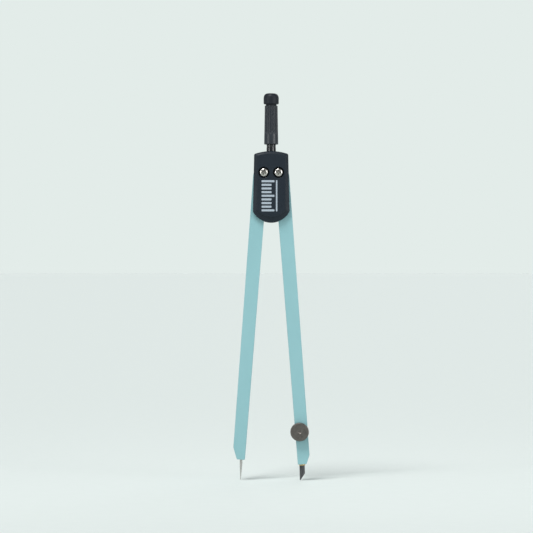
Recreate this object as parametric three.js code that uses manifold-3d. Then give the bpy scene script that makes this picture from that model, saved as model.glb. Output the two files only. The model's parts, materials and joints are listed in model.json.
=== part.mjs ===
// School drawing compass with a geared two-pivot head, modelled upright in its drawing position.
// Millimetres, +Z up. The paper is z = 0, the front of the head looks along -Y, the needle leg is
// at -X and the lead leg at +X. The origin is on the paper, midway between the legs.
import * as THREE from 'three';
import { mergeVertices } from 'three/addons/utils/BufferGeometryUtils.js';
import Module from 'manifold-3d';

const wasm = await Module();
wasm.setup();

// ---------------------------------------------------------------- driving dimensions
const ROUND = 32; // sides of a round piece
const FINE_ROUND = 48; // sides of a large round piece
const ARC_STEPS = 12; // sides of each arc in a flat outline
const CLEARANCE = 0.05; // radial, for shafts that turn or slide
const BEYOND = 10; // a cutter that goes right through reaches this far past the origin
const OVERLAP = 0.1; // how far solids run into each other before they are joined
const MERGE_DISTANCE = 1e-4; // vertices closer than this are one

const PIVOT_HEIGHT = 115.2; // both pivots above the paper
const LEG_ANGLE = THREE.MathUtils.degToRad(4.35); // each leg from upright, as the compass is stored

// Toothed sectors that keep the two legs at the same angle.
const GEAR = {
  teeth: 11,
  module: 0.5,
  pressureAngle: THREE.MathUtils.degToRad(25),
  addendum: 0.42,
  dedendum: 0.55,
  backlash: 0.12,
  firstTooth: THREE.MathUtils.degToRad(100), // the teeth lie between these directions, counted
  lastTooth: THREE.MathUtils.degToRad(215), // from outwards over the top of the leg
};
const PITCH_RADIUS = (GEAR.teeth * GEAR.module) / 2;
const PIVOT_X = PITCH_RADIUS; // the sectors mesh on the centre plane
const ROOT_RADIUS = PITCH_RADIUS - GEAR.dedendum;
const TIP_RADIUS = PITCH_RADIUS + GEAR.addendum;
const TOOTH_PITCH = (2 * Math.PI) / GEAR.teeth;

// A leg in its own frame: the pivot is the origin, +x points away from the other leg, +z up the leg.
const LEG = {
  halfThickness: 2.0,
  outerAtPivot: 3.93,
  innerAtPivot: -1.45,
  taper: 0.0034, // each edge closes in by this much per mm
  hubFrom: THREE.MathUtils.degToRad(-20), // the full part of the hub, counted as the teeth are
  hubTo: THREE.MathUtils.degToRad(97),
  shoulderDrop: 2.0, shoulderX: 2.3, shoulderTop: 2.0, // ends of the round shoulder above the bar
};
const NEEDLE_LEG = { length: 107.8, chamferAlong: 4.4, chamferAcross: 1.6, pointX: 0.35 };
const LEAD_LEG = { length: 109.6, chamferAlong: 3.4, chamferAcross: 1.35, pointX: 0.5 };
const POINT_TILT = THREE.MathUtils.degToRad(2.5); // needle and lead lean inwards of their legs

// Head: two covers clamped on the legs by the pivot screws.
const HEAD = {
  innerFace: 2.4, // half the room between the covers
  cornerRound: 0.7, // rounding of the two top corners
  cornerRise: 0.15, // how far that rounding climbs into the arched top
  plateFace: 4.2, // outside of the covers' rim
  panelFace: 4.8, // outside of the raised panel
  wallBottom: 119.4, // covers close on each other above this height
};
const RIM = { halfTop: 6.4, halfBottom: 6.85, top: 123.2, shoulder: 122.2, corner: 100.6, bottom: 96.5 };
const PANEL = { halfTop: 5.75, halfBottom: 5.7, top: 122.7, shoulder: 121.8, corner: 101.2, bottom: 98.4 };

// Pivot screws, nuts and friction washers.
const SCREW = {
  radius: 1.0, seat: 3.3, end: 4.55, endChamfer: 0.3,
  headRadius: 1.75, headHeight: 1.25, crownRadius: 1.1, crownDrop: 0.12, rimDrop: 0.55,
  bladeLength: 2.1, bladeWidth: 0.42, bladeDepth: 0.7, leftTurn: 0.35, rightTurn: 0.15,
};
const COUNTERBORE_RADIUS = 2.1;
const NUT = { acrossFlats: 4.0, height: 1.4, seat: 3.1 };
const WASHER = { outer: 2.3, inner: 1.1, thickness: 0.35, play: 0.02 };

// Handle: stem held between the covers, fluted grip and end cap.
const STEM = {
  rootHalfWidth: 4.1, rootHalfDepth: 2.2, rootBottom: 119.6, rootTop: 121.7,
  neckRadius: 1.75, spigotRadius: 1.45, spigotBottom: 125.8, spigotTop: 137.6, endChamfer: 0.4,
};
const GRIP = {
  bottom: 125.8, top: 140.4, bottomRadius: 2.65, topRadius: 2.42, boreRadius: 1.5,
  flutes: 22, sidesPerFlute: 4, fluteDepth: 0.16, fluteBottom: 129.2, runOut: 1.2, fluteTop: 140.1, edge: 0.2,
};
const CAP = {
  bottom: 140.4, collarTop: 140.9, top: 145.0, radius: 2.85, collarRadius: 2.0, plugBottom: 138.0,
  domeHeight: 1.7, flatRadius: 1.5, domeSteps: 4,
};

// Needle and lead.
const NEEDLE = {
  radius: 0.5, inside: 8.0, endChamfer: 0.2,
  taperStart: 6.6, waistFromTip: 2.6, waistRadius: 0.27, tipRadius: 0.05,
};
const GRUB = {
  radius: 1.0, height: 1.2, sunk: 0.1, aboveEnd: 3.4, slotWidth: 0.4, slotDepth: 0.45, turn: 0.5,
};
const LEAD = { radius: 1.0, inside: 9.6, bevelLength: 2.6, edge: 0.15 };
const COLLET = { outer: 1.25, inner: 1.0 + CLEARANCE, inside: 10.0, outside: 0.45, slit: 0.4, edge: 0.1 };
const BORE_REST = 0.3; // room left above the needle and the collet in their bores
const SLIT = { width: 0.4, length: 18.0, reliefRadius: 0.5 };

// Thumb screw that closes the slit end of the lead leg.
const THUMB = {
  aboveEnd: 12.3, x: 0.5, shankRadius: 1.25, shankSunk: 0.1, headRadius: 3.55, headThickness: 2.4,
  edge: 0.4, knurls: 36, knurlDepth: 0.12, dimpleRadius: 0.6, dimpleDepth: 0.3,
};
const THUMB_WASHER = { outer: 2.7, inner: 1.35, thickness: 0.4 };

// ---------------------------------------------------------------- materials
const paint = new THREE.MeshStandardMaterial({ color: 0x93c3c2, roughness: 0.42, metalness: 0.0 });
const blackPlastic = new THREE.MeshStandardMaterial({ color: 0x1c2026, roughness: 0.55, metalness: 0.0 });
const glossPlastic = new THREE.MeshStandardMaterial({ color: 0x131519, roughness: 0.2, metalness: 0.0 });
const nickel = new THREE.MeshStandardMaterial({ color: 0xb4b1aa, roughness: 0.3, metalness: 1.0 });
const steel = new THREE.MeshStandardMaterial({ color: 0xc4c6c8, roughness: 0.25, metalness: 1.0 });
const brass = new THREE.MeshStandardMaterial({ color: 0xc3a763, roughness: 0.35, metalness: 1.0 });
const nylon = new THREE.MeshStandardMaterial({ color: 0xd9d6cc, roughness: 0.6, metalness: 0.0 });
const graphite = new THREE.MeshStandardMaterial({ color: 0x3a3b3d, roughness: 0.5, metalness: 0.3 });

// ---------------------------------------------------------------- solids
function toSolid(geometry) {
  const bare = geometry.clone();
  bare.deleteAttribute('normal');
  bare.deleteAttribute('uv');
  const merged = mergeVertices(bare, MERGE_DISTANCE);
  return new wasm.Manifold(new wasm.Mesh({
    numProp: 3,
    vertProperties: merged.attributes.position.array,
    triVerts: new Uint32Array(merged.index.array),
  }));
}

function toGeometry(solid) {
  const mesh = solid.getMesh();
  return new THREE.BufferGeometry()
    .setAttribute('position', new THREE.BufferAttribute(mesh.vertProperties, 3))
    .setIndex(new THREE.BufferAttribute(mesh.triVerts, 1));
}

function join(geometries) {
  return toGeometry(geometries.map(toSolid).reduce((whole, solid) => whole.add(solid)));
}

function cut(geometry, tools) {
  return toGeometry(tools.map(toSolid).reduce((whole, solid) => whole.subtract(solid), toSolid(geometry)));
}

// A shape drawn in x and z, as a plate from y = front to y = back.
function plate(shape, front, back) {
  const depth = back - front;
  const geometry = new THREE.ExtrudeGeometry(shape, { depth, bevelEnabled: false, curveSegments: ARC_STEPS });
  return geometry.rotateX(Math.PI / 2).translate(0, back, 0);
}

function polygon(points) {
  return new THREE.Shape(points.map(([x, z]) => new THREE.Vector2(x, z)));
}

function box(x, y, z) {
  return new THREE.BoxGeometry(x[1] - x[0], y[1] - y[0], z[1] - z[0])
    .translate((x[0] + x[1]) / 2, (y[0] + y[1]) / 2, (z[0] + z[1]) / 2);
}

// A cylinder along y, centred on (x, z).
function rod(radius, front, back, x = 0, z = 0, sides = ROUND) {
  return new THREE.CylinderGeometry(radius, radius, back - front, sides).translate(x, (front + back) / 2, z);
}

// A profile of [radius, height] pairs turned about the y axis, heights running along +y.
function turned(profile, sides = ROUND) {
  return new THREE.LatheGeometry(profile.map(([r, h]) => new THREE.Vector2(r, h)), sides);
}

// The same about the z axis.
function turnedUpright(profile, sides = ROUND) {
  return turned(profile, sides).rotateX(Math.PI / 2);
}

function ring(outer, inner, front, back) {
  return turned([[inner, front], [outer, front], [outer, back], [inner, back], [inner, front]]);
}

function named(name, geometry, material) {
  const mesh = new THREE.Mesh(geometry, material);
  mesh.name = name;
  return mesh;
}

// ---------------------------------------------------------------- head
function headOutline(o) {
  const shape = new THREE.Shape();
  const { cornerRound, cornerRise } = HEAD;
  const sagitta = o.corner - o.bottom;
  const arcRadius = (o.halfBottom ** 2 + sagitta ** 2) / (2 * sagitta);
  const arcCentre = o.bottom + arcRadius;
  const startAngle = Math.atan2(o.corner - arcCentre, -o.halfBottom);
  const endAngle = Math.atan2(o.corner - arcCentre, o.halfBottom);
  const crown = 2 * o.top - o.shoulder - cornerRise;
  shape.moveTo(-o.halfTop + cornerRound, o.shoulder + cornerRise);
  shape.quadraticCurveTo(-o.halfTop, o.shoulder, -o.halfTop, o.shoulder - cornerRound);
  shape.lineTo(-o.halfBottom, o.corner);
  shape.absarc(0, arcCentre, arcRadius, startAngle, endAngle, false);
  shape.lineTo(o.halfTop, o.shoulder - cornerRound);
  shape.quadraticCurveTo(o.halfTop, o.shoulder, o.halfTop - cornerRound, o.shoulder + cornerRise);
  shape.quadraticCurveTo(0, crown, -o.halfTop + cornerRound, o.shoulder + cornerRise);
  return shape;
}

// The front cover's shell, with no screw seats. The rear cover is its mirror image in y.
function coverShell() {
  const rim = plate(headOutline(RIM), -HEAD.plateFace, -HEAD.innerFace);
  const panel = plate(headOutline(PANEL), -HEAD.panelFace, -HEAD.plateFace + OVERLAP);
  const closing = cut(plate(headOutline(RIM), -HEAD.innerFace - OVERLAP, 0), [
    box([-BEYOND, BEYOND], [-BEYOND, BEYOND], [RIM.bottom - BEYOND, HEAD.wallBottom]),
  ]);
  const rootPocket = box(
    [-STEM.rootHalfWidth - CLEARANCE, STEM.rootHalfWidth + CLEARANCE],
    [-STEM.rootHalfDepth - CLEARANCE, BEYOND],
    [HEAD.wallBottom - OVERLAP, STEM.rootTop + CLEARANCE],
  );
  const neckHole = uprightRod(STEM.neckRadius + CLEARANCE, HEAD.wallBottom, RIM.top + BEYOND);
  return cut(join([rim, panel, closing]), [rootPocket, neckHole]);
}

function frontCover() {
  const seats = [-PIVOT_X, PIVOT_X].flatMap((x) => [
    rod(COUNTERBORE_RADIUS, -BEYOND, -SCREW.seat, x, PIVOT_HEIGHT),
    rod(SCREW.radius + 2 * CLEARANCE, -BEYOND, 0, x, PIVOT_HEIGHT),
  ]);
  return cut(coverShell(), seats);
}

function rearCover() {
  const seats = [-PIVOT_X, PIVOT_X].flatMap((x) => [
    hexagon(NUT.acrossFlats + 2 * CLEARANCE, NUT.seat, BEYOND, x),
    rod(SCREW.radius + 2 * CLEARANCE, 0, BEYOND, x, PIVOT_HEIGHT),
  ]);
  return cut(coverShell().rotateZ(Math.PI), seats);
}

// A hexagonal prism along y on a pivot's axis, with two flats upright.
function hexagon(acrossFlats, front, back, x) {
  return new THREE.CylinderGeometry(acrossFlats / Math.sqrt(3), acrossFlats / Math.sqrt(3), back - front, 6)
    .translate(x, (front + back) / 2, PIVOT_HEIGHT);
}

function pivotScrew(side) {
  const crown = SCREW.seat + SCREW.headHeight;
  const profile = [
    [0, -crown], [SCREW.crownRadius, -crown + SCREW.crownDrop], [SCREW.headRadius, -crown + SCREW.rimDrop],
    [SCREW.headRadius, -SCREW.seat], [SCREW.radius, -SCREW.seat],
    [SCREW.radius, SCREW.end - SCREW.endChamfer], [SCREW.radius - SCREW.endChamfer, SCREW.end],
    [0, SCREW.end],
  ];
  const turn = side < 0 ? SCREW.leftTurn : SCREW.rightTurn;
  const cross = [turn, turn + Math.PI / 2].map((angle) =>
    new THREE.BoxGeometry(SCREW.bladeLength, 2 * SCREW.bladeDepth, SCREW.bladeWidth)
      .rotateY(angle).translate(0, -crown, 0));
  return cut(turned(profile), cross).translate(side * PIVOT_X, 0, PIVOT_HEIGHT);
}

function pivotNut(side) {
  const block = hexagon(NUT.acrossFlats, NUT.seat, NUT.seat + NUT.height, side * PIVOT_X);
  return cut(block, [rod(SCREW.radius + CLEARANCE, 0, BEYOND, side * PIVOT_X, PIVOT_HEIGHT)]);
}

function frictionWasher(side, face) {
  const near = face * (LEG.halfThickness + WASHER.play);
  const far = near + face * WASHER.thickness;
  return ring(WASHER.outer, WASHER.inner, Math.min(near, far), Math.max(near, far))
    .translate(side * PIVOT_X, 0, PIVOT_HEIGHT);
}

// ---------------------------------------------------------------- handle
function handleStem() {
  const root = box(
    [-STEM.rootHalfWidth, STEM.rootHalfWidth],
    [-STEM.rootHalfDepth, STEM.rootHalfDepth],
    [STEM.rootBottom, STEM.rootTop],
  );
  const spindle = turnedUpright([
    [0, STEM.rootTop - OVERLAP], [STEM.neckRadius, STEM.rootTop - OVERLAP],
    [STEM.neckRadius, STEM.spigotBottom], [STEM.spigotRadius, STEM.spigotBottom],
    [STEM.spigotRadius, STEM.spigotTop - STEM.endChamfer],
    [STEM.spigotRadius - STEM.endChamfer, STEM.spigotTop], [0, STEM.spigotTop],
  ]);
  return join([root, spindle]);
}

// A tapered tube whose outside has shallow flutes that run out above its plain foot.
function gripSleeve() {
  const slope = (GRIP.topRadius - GRIP.bottomRadius) / (GRIP.top - GRIP.bottom);
  const outside = (z) => GRIP.bottomRadius + slope * (z - GRIP.bottom);
  const heights = [GRIP.bottom + GRIP.edge, GRIP.fluteBottom, GRIP.fluteBottom + GRIP.runOut, GRIP.fluteTop];
  const profile = [
    [GRIP.boreRadius, GRIP.bottom], [outside(GRIP.bottom) - GRIP.edge, GRIP.bottom],
    ...heights.map((z) => [outside(z), z]),
    [outside(GRIP.top) - GRIP.edge, GRIP.top], [GRIP.boreRadius, GRIP.top], [GRIP.boreRadius, GRIP.bottom],
  ];
  const geometry = turnedUpright(profile, GRIP.flutes * GRIP.sidesPerFlute);
  const at = geometry.attributes.position;
  for (let i = 0; i < at.count; i += 1) {
    const z = at.getZ(i);
    const radius = Math.hypot(at.getX(i), at.getY(i));
    if (radius > GRIP.boreRadius + OVERLAP && z > GRIP.fluteBottom + OVERLAP) {
      const angle = Math.atan2(at.getY(i), at.getX(i));
      const depth = (GRIP.fluteDepth * (1 + Math.cos(GRIP.flutes * angle))) / 2;
      const scale = (radius - depth) / radius;
      at.setXY(i, at.getX(i) * scale, at.getY(i) * scale);
    }
  }
  return geometry;
}

function gripCap() {
  const plugRadius = GRIP.boreRadius - CLEARANCE;
  const dome = Array.from({ length: CAP.domeSteps + 1 }, (_, k) => {
    const angle = (Math.PI / 2) * (k / CAP.domeSteps);
    return [
      CAP.flatRadius + (CAP.radius - CAP.flatRadius) * Math.cos(angle),
      CAP.top - CAP.domeHeight * (1 - Math.sin(angle)),
    ];
  });
  return turnedUpright([
    [0, CAP.plugBottom], [plugRadius, CAP.plugBottom], [plugRadius, CAP.bottom],
    [CAP.collarRadius, CAP.bottom], [CAP.collarRadius, CAP.collarTop], [CAP.radius, CAP.collarTop],
    ...dome, [0, CAP.top],
  ]);
}

// ---------------------------------------------------------------- legs
const outerEdge = (s) => LEG.outerAtPivot - LEG.taper * s;
const innerEdge = (s) => LEG.innerAtPivot + LEG.taper * s;

// One involute tooth, pointing along the given angle from +x towards +z.
function tooth(angle, side) {
  const baseRadius = PITCH_RADIUS * Math.cos(GEAR.pressureAngle);
  const involute = (a) => Math.tan(a) - a;
  const halfAtPitch = (Math.PI * GEAR.module - GEAR.backlash) / 4 / PITCH_RADIUS;
  const halfAngle = (r) =>
    halfAtPitch + involute(GEAR.pressureAngle) - involute(Math.acos(Math.min(1, baseRadius / r)));
  const upperFlank = (PITCH_RADIUS + TIP_RADIUS) / 2;
  const radii = [ROOT_RADIUS - OVERLAP, baseRadius, PITCH_RADIUS, upperFlank, TIP_RADIUS];
  const flank = radii.map((r) => [r, halfAngle(Math.max(r, baseRadius))]);
  const outline = [...flank.map(([r, half]) => [r, -half]), ...flank.reverse()];
  const points = outline.map(([r, a]) => [side * r * Math.cos(angle + a), r * Math.sin(angle + a)]);
  return plate(polygon(points), -LEG.halfThickness, LEG.halfThickness);
}

// The flat bar with its hub, toothed sector and chamfered end. phase is in tooth pitches.
function legBlank(leg, side, phase) {
  const mesh = Math.PI - LEG_ANGLE; // the direction of the other pivot, with the legs as stored
  const teeth = [-2, -1, 0, 1].map((k) => mesh + (k + phase) * TOOTH_PITCH)
    .filter((angle) => angle > GEAR.firstTooth && angle < GEAR.lastTooth)
    .map((angle) => tooth(angle, side));
  const hub = rod(ROOT_RADIUS, -LEG.halfThickness, LEG.halfThickness, 0, 0, FINE_ROUND);

  // Where the teeth end the hub is full, which stops the legs at their widest opening.
  const stop = new THREE.Shape();
  const first = side > 0 ? LEG.hubFrom : Math.PI - LEG.hubTo;
  const last = side > 0 ? LEG.hubTo : Math.PI - LEG.hubFrom;
  stop.moveTo(0, 0);
  stop.absarc(0, 0, TIP_RADIUS, first, last, false);
  stop.lineTo(0, 0);

  const end = leg.length;
  const bar = new THREE.Shape();
  bar.moveTo(side * innerEdge(0), 0);
  bar.lineTo(side * innerEdge(end), -end);
  bar.lineTo(side * (outerEdge(end) - leg.chamferAcross), -end);
  bar.lineTo(side * outerEdge(end - leg.chamferAlong), -(end - leg.chamferAlong));
  bar.lineTo(side * outerEdge(LEG.shoulderDrop), -LEG.shoulderDrop);
  bar.quadraticCurveTo(side * outerEdge(0), LEG.shoulderTop / 2, side * LEG.shoulderX, LEG.shoulderTop);
  bar.lineTo(side * innerEdge(0), 0);

  const solids = [hub, ...teeth, ...[stop, bar].map((s) => plate(s, -LEG.halfThickness, LEG.halfThickness))];
  const bore = rod(SCREW.radius + CLEARANCE, -BEYOND, BEYOND);
  return cut(join(solids), [bore]);
}

// Puts a piece that is drawn upright, its top at z = 0, on the axis of a leg's needle or lead.
function onPointAxis(geometry, leg, side) {
  return geometry.rotateY(side * POINT_TILT).translate(side * leg.pointX, 0, -leg.length);
}

// How far the needle or lead stands out of its leg to reach the paper, with the legs as stored.
// across is where its lowest point lies, counted from its axis towards the other leg.
function reachOf(leg, across) {
  const lean = LEG_ANGLE - POINT_TILT;
  const endHeight = PIVOT_HEIGHT + leg.pointX * Math.sin(LEG_ANGLE) - leg.length * Math.cos(LEG_ANGLE);
  return (endHeight - across * Math.sin(lean)) / Math.cos(lean);
}

function uprightRod(radius, bottom, top) {
  return new THREE.CylinderGeometry(radius, radius, top - bottom, ROUND)
    .rotateX(Math.PI / 2).translate(0, 0, (bottom + top) / 2);
}

const NEEDLE_SIDE = -1;
const LEAD_SIDE = 1;
const grubX = NEEDLE_SIDE * (NEEDLE_LEG.pointX + GRUB.aboveEnd * Math.tan(POINT_TILT));
const grubZ = -(NEEDLE_LEG.length - GRUB.aboveEnd);
const thumbX = LEAD_SIDE * THUMB.x;
const thumbZ = -(LEAD_LEG.length - THUMB.aboveEnd);

function needleLeg() {
  const hole = uprightRod(NEEDLE.radius + CLEARANCE, -BEYOND, NEEDLE.inside + BORE_REST);
  const needleBore = onPointAxis(hole, NEEDLE_LEG, NEEDLE_SIDE);
  const grubHole = rod(GRUB.radius + CLEARANCE, 0, BEYOND, grubX, grubZ);
  return cut(legBlank(NEEDLE_LEG, NEEDLE_SIDE, 0.5), [needleBore, grubHole]);
}

function leadLeg() {
  const hole = uprightRod(COLLET.outer + CLEARANCE, -BEYOND, COLLET.inside + BORE_REST);
  const colletBore = onPointAxis(hole, LEAD_LEG, LEAD_SIDE);
  const slitTop = -(LEAD_LEG.length - SLIT.length);
  const slitBottom = -LEAD_LEG.length - BEYOND;
  const slit = box([-BEYOND, BEYOND], [-SLIT.width / 2, SLIT.width / 2], [slitBottom, slitTop]);
  const relief = new THREE.CylinderGeometry(SLIT.reliefRadius, SLIT.reliefRadius, 2 * BEYOND, ROUND)
    .rotateZ(Math.PI / 2).translate(0, 0, slitTop);
  const screwHole = rod(THUMB.shankRadius + CLEARANCE, -BEYOND, BEYOND, thumbX, thumbZ);
  return cut(legBlank(LEAD_LEG, LEAD_SIDE, 0), [colletBore, slit, relief, screwHole]);
}

function needle() {
  const reach = reachOf(NEEDLE_LEG, 0);
  const profile = [
    [0, -reach], [NEEDLE.tipRadius, -reach + 2 * NEEDLE.tipRadius],
    [NEEDLE.waistRadius, -reach + NEEDLE.waistFromTip], [NEEDLE.radius, -reach + NEEDLE.taperStart],
    [NEEDLE.radius, NEEDLE.inside - NEEDLE.endChamfer],
    [NEEDLE.radius - NEEDLE.endChamfer, NEEDLE.inside], [0, NEEDLE.inside],
  ];
  return onPointAxis(turnedUpright(profile), NEEDLE_LEG, NEEDLE_SIDE);
}

function grubScrew() {
  const back = LEG.halfThickness - GRUB.sunk;
  const body = rod(GRUB.radius, back - GRUB.height, back);
  const half = GRUB.slotWidth / 2;
  const slot = box([-BEYOND, BEYOND], [back - GRUB.slotDepth, BEYOND], [-half, half]).rotateY(GRUB.turn);
  return cut(body, [slot]).translate(grubX, 0, grubZ);
}

function collet() {
  const tube = turnedUpright([
    [COLLET.inner, -COLLET.outside], [COLLET.outer - COLLET.edge, -COLLET.outside],
    [COLLET.outer, -COLLET.outside + COLLET.edge], [COLLET.outer, COLLET.inside],
    [COLLET.inner, COLLET.inside], [COLLET.inner, -COLLET.outside],
  ]);
  const slit = box([0, BEYOND], [-COLLET.slit / 2, COLLET.slit / 2], [-BEYOND, COLLET.inside + BEYOND]);
  return onPointAxis(cut(tube, [slit]), LEAD_LEG, LEAD_SIDE);
}

// A round lead ground with one slanting flat, its edge on the side of the needle.
function lead() {
  const reach = reachOf(LEAD_LEG, LEAD.radius);
  const stick = uprightRod(LEAD.radius, -reach, LEAD.inside);
  const slope = LEAD.bevelLength / (2 * LEAD.radius - LEAD.edge);
  const across = BEYOND - (LEAD.edge - LEAD.radius);
  const grinding = polygon([
    [LEAD.edge - LEAD.radius, -reach], [LEAD.edge - LEAD.radius, -reach - BEYOND], [BEYOND, -reach - BEYOND],
    [BEYOND, -reach + across * slope],
  ]);
  return onPointAxis(cut(stick, [plate(grinding, -BEYOND, BEYOND)]), LEAD_LEG, LEAD_SIDE);
}

function thumbScrew() {
  const under = -(LEG.halfThickness + THUMB_WASHER.thickness);
  const face = under - THUMB.headThickness;
  const end = LEG.halfThickness - THUMB.shankSunk;
  const profile = [
    [0, face + THUMB.dimpleDepth], [THUMB.dimpleRadius, face],
    [THUMB.headRadius - THUMB.edge, face], [THUMB.headRadius, face + THUMB.edge],
    [THUMB.headRadius, under - THUMB.edge], [THUMB.headRadius - THUMB.edge, under],
    [THUMB.shankRadius, under], [THUMB.shankRadius, end - THUMB.edge],
    [THUMB.shankRadius - THUMB.edge, end], [0, end],
  ];
  const geometry = turned(profile, THUMB.knurls * 2);
  const at = geometry.attributes.position;
  const segment = Math.PI / THUMB.knurls;
  for (let i = 0; i < at.count; i += 1) {
    const radius = Math.hypot(at.getX(i), at.getZ(i));
    const step = Math.round(Math.atan2(at.getZ(i), at.getX(i)) / segment);
    if (radius > THUMB.headRadius - OVERLAP && Math.abs(step) % 2 === 1) {
      const scale = (radius - THUMB.knurlDepth) / radius;
      at.setX(i, at.getX(i) * scale);
      at.setZ(i, at.getZ(i) * scale);
    }
  }
  return geometry.translate(thumbX, 0, thumbZ);
}

function thumbScrewWasher() {
  const front = -(LEG.halfThickness + THUMB_WASHER.thickness);
  return ring(THUMB_WASHER.outer, THUMB_WASHER.inner, front, -LEG.halfThickness).translate(thumbX, 0, thumbZ);
}

// ---------------------------------------------------------------- assembly
const compass = new THREE.Group();

const head = new THREE.Group();
head.add(
  named('front_cover', frontCover(), blackPlastic),
  named('rear_cover', rearCover(), blackPlastic),
  named('handle_stem', handleStem(), glossPlastic),
  named('grip_sleeve', gripSleeve(), blackPlastic),
  named('grip_cap', gripCap(), blackPlastic),
);
for (const [label, side] of [['left', -1], ['right', 1]]) {
  head.add(
    named(`${label}_pivot_screw`, pivotScrew(side), nickel),
    named(`${label}_pivot_nut`, pivotNut(side), nickel),
    named(`${label}_front_washer`, frictionWasher(side, -1), nylon),
    named(`${label}_rear_washer`, frictionWasher(side, 1), nylon),
  );
}

function legGroup(side, meshes) {
  const group = new THREE.Group();
  group.position.set(side * PIVOT_X, 0, PIVOT_HEIGHT);
  group.rotation.y = -side * LEG_ANGLE;
  group.add(...meshes);
  return group;
}

compass.add(
  head,
  legGroup(NEEDLE_SIDE, [
    named('needle_leg', needleLeg(), paint),
    named('needle', needle(), steel),
    named('needle_grub_screw', grubScrew(), nickel),
  ]),
  legGroup(LEAD_SIDE, [
    named('lead_leg', leadLeg(), paint),
    named('lead_collet', collet(), brass),
    named('lead', lead(), graphite),
    named('thumb_screw', thumbScrew(), nickel),
    named('thumb_screw_washer', thumbScrewWasher(), steel),
  ]),
);

export default compass;
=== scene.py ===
import json
import math

import bmesh
import bpy
from mathutils import Matrix, Vector


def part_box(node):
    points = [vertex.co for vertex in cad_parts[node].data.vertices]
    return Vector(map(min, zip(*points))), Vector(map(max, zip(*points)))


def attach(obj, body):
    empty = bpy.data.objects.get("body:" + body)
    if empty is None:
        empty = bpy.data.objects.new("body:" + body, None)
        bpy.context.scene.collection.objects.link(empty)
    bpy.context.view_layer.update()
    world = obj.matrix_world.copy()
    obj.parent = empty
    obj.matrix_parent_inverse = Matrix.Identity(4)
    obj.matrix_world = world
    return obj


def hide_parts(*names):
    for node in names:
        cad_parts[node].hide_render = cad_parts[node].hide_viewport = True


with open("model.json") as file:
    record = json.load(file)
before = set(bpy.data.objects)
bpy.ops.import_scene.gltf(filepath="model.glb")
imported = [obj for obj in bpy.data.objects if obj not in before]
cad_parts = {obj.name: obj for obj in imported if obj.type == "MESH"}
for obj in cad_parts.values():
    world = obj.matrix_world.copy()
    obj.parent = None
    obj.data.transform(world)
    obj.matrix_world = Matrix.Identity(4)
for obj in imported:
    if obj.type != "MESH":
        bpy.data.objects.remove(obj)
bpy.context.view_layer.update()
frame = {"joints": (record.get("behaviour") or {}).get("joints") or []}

MM = 0.001
LEFT, RIGHT = -1, 1
ROUND = 96  # sides of a round piece
JOINTS = {joint["name"]: joint for joint in frame["joints"]}

# A leg in its own frame, as the part states it: pivot at the origin, +x away from the other leg.
LEG_ANGLE = math.radians(4.35)
POINT_TILT = math.radians(2.5)
LEG_HALF_THICKNESS = 2.0
OUTER_EDGE, INNER_EDGE, TAPER = 3.93, -1.45, 0.0034
NEEDLE_LEG = {"side": LEFT, "length": 107.8, "chamfer": (1.6, 4.4), "point_x": 0.35, "phase": 0.5}
LEAD_LEG = {"side": RIGHT, "length": 109.6, "chamfer": (1.35, 3.4), "point_x": 0.5, "phase": 0.0}
TEETH = 11
PITCH_RADIUS = 2.75
ROOT_RADIUS, TIP_RADIUS = PITCH_RADIUS - 0.55, PITCH_RADIUS + 0.42
PRESSURE_ANGLE = math.radians(25)
BACKLASH = 0.12


# ------------------------------------------------------------------ small geometry tools
def span(node):
    """Lowest and highest corner of a frame node, in millimetres."""
    low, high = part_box(node)
    return low / MM, high / MM


def middle(node):
    low, high = span(node)
    return (low + high) / 2


def fillet(points, radius, closed=False, steps=5):
    """The same outline with every real corner rounded. radius is a number or one per point."""
    points = [Vector(p) for p in points]
    radii = radius if isinstance(radius, (list, tuple)) else [radius] * len(points)
    rounded = []
    for i, (corner, size) in enumerate(zip(points, radii)):
        at_end = not closed and i in (0, len(points) - 1)
        before = points[i - 1] - corner
        after = points[(i + 1) % len(points)] - corner
        if at_end or size <= 0 or before.angle(after) > math.radians(172):
            rounded.append(corner)
            continue
        reach = min(size / math.tan(before.angle(after) / 2), 0.45 * before.length, 0.45 * after.length)
        start = corner + before.normalized() * reach
        end = corner + after.normalized() * reach
        for k in range(steps + 1):
            t = k / steps
            rounded.append(start * (1 - t) ** 2 + corner * 2 * t * (1 - t) + end * t ** 2)
    return rounded


def arc(centre, radius, start, end, steps):
    """Points from angle start to angle end, both included."""
    angles = [start + (end - start) * k / steps for k in range(steps + 1)]
    return [Vector((centre[0] + radius * math.cos(a), centre[1] + radius * math.sin(a))) for a in angles]


def bezier(start, control, end, steps):
    start, control, end = Vector(start), Vector(control), Vector(end)
    return [start * (1 - t) ** 2 + control * 2 * t * (1 - t) + end * t ** 2
            for t in (k / steps for k in range(steps + 1))]


def area(points):
    return sum(a.x * b.y - b.x * a.y for a, b in zip(points, points[1:] + points[:1])) / 2


def inset(points, distance):
    """A closed outline moved inwards. distance is a number or a function of the point."""
    turn = 1 if area(points) > 0 else -1
    moved = []
    for i, point in enumerate(points):
        before = (point - points[i - 1]).normalized()
        after = (points[(i + 1) % len(points)] - point).normalized()
        normals = [Vector((-edge.y, edge.x)) * turn for edge in (before, after)]
        normal = (normals[0] + normals[1]).normalized()
        depth = distance(point) if callable(distance) else distance
        moved.append(point + normal * depth / max(0.5, normal.dot(normals[0])))
    return moved


def loft(rings):
    """A closed solid through rings of (outline in x and z, y), with flat ends."""
    bm = bmesh.new()
    rows = [[bm.verts.new((p.x, y, p.y)) for p in outline] for outline, y in rings]
    for row, following in zip(rows, rows[1:]):
        for i in range(len(row)):
            j = (i + 1) % len(row)
            bm.faces.new((row[i], row[j], following[j], following[i]))
    bm.faces.new(rows[0])
    bm.faces.new(rows[-1])
    bmesh.ops.recalc_face_normals(bm, faces=bm.faces)
    return bm


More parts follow.
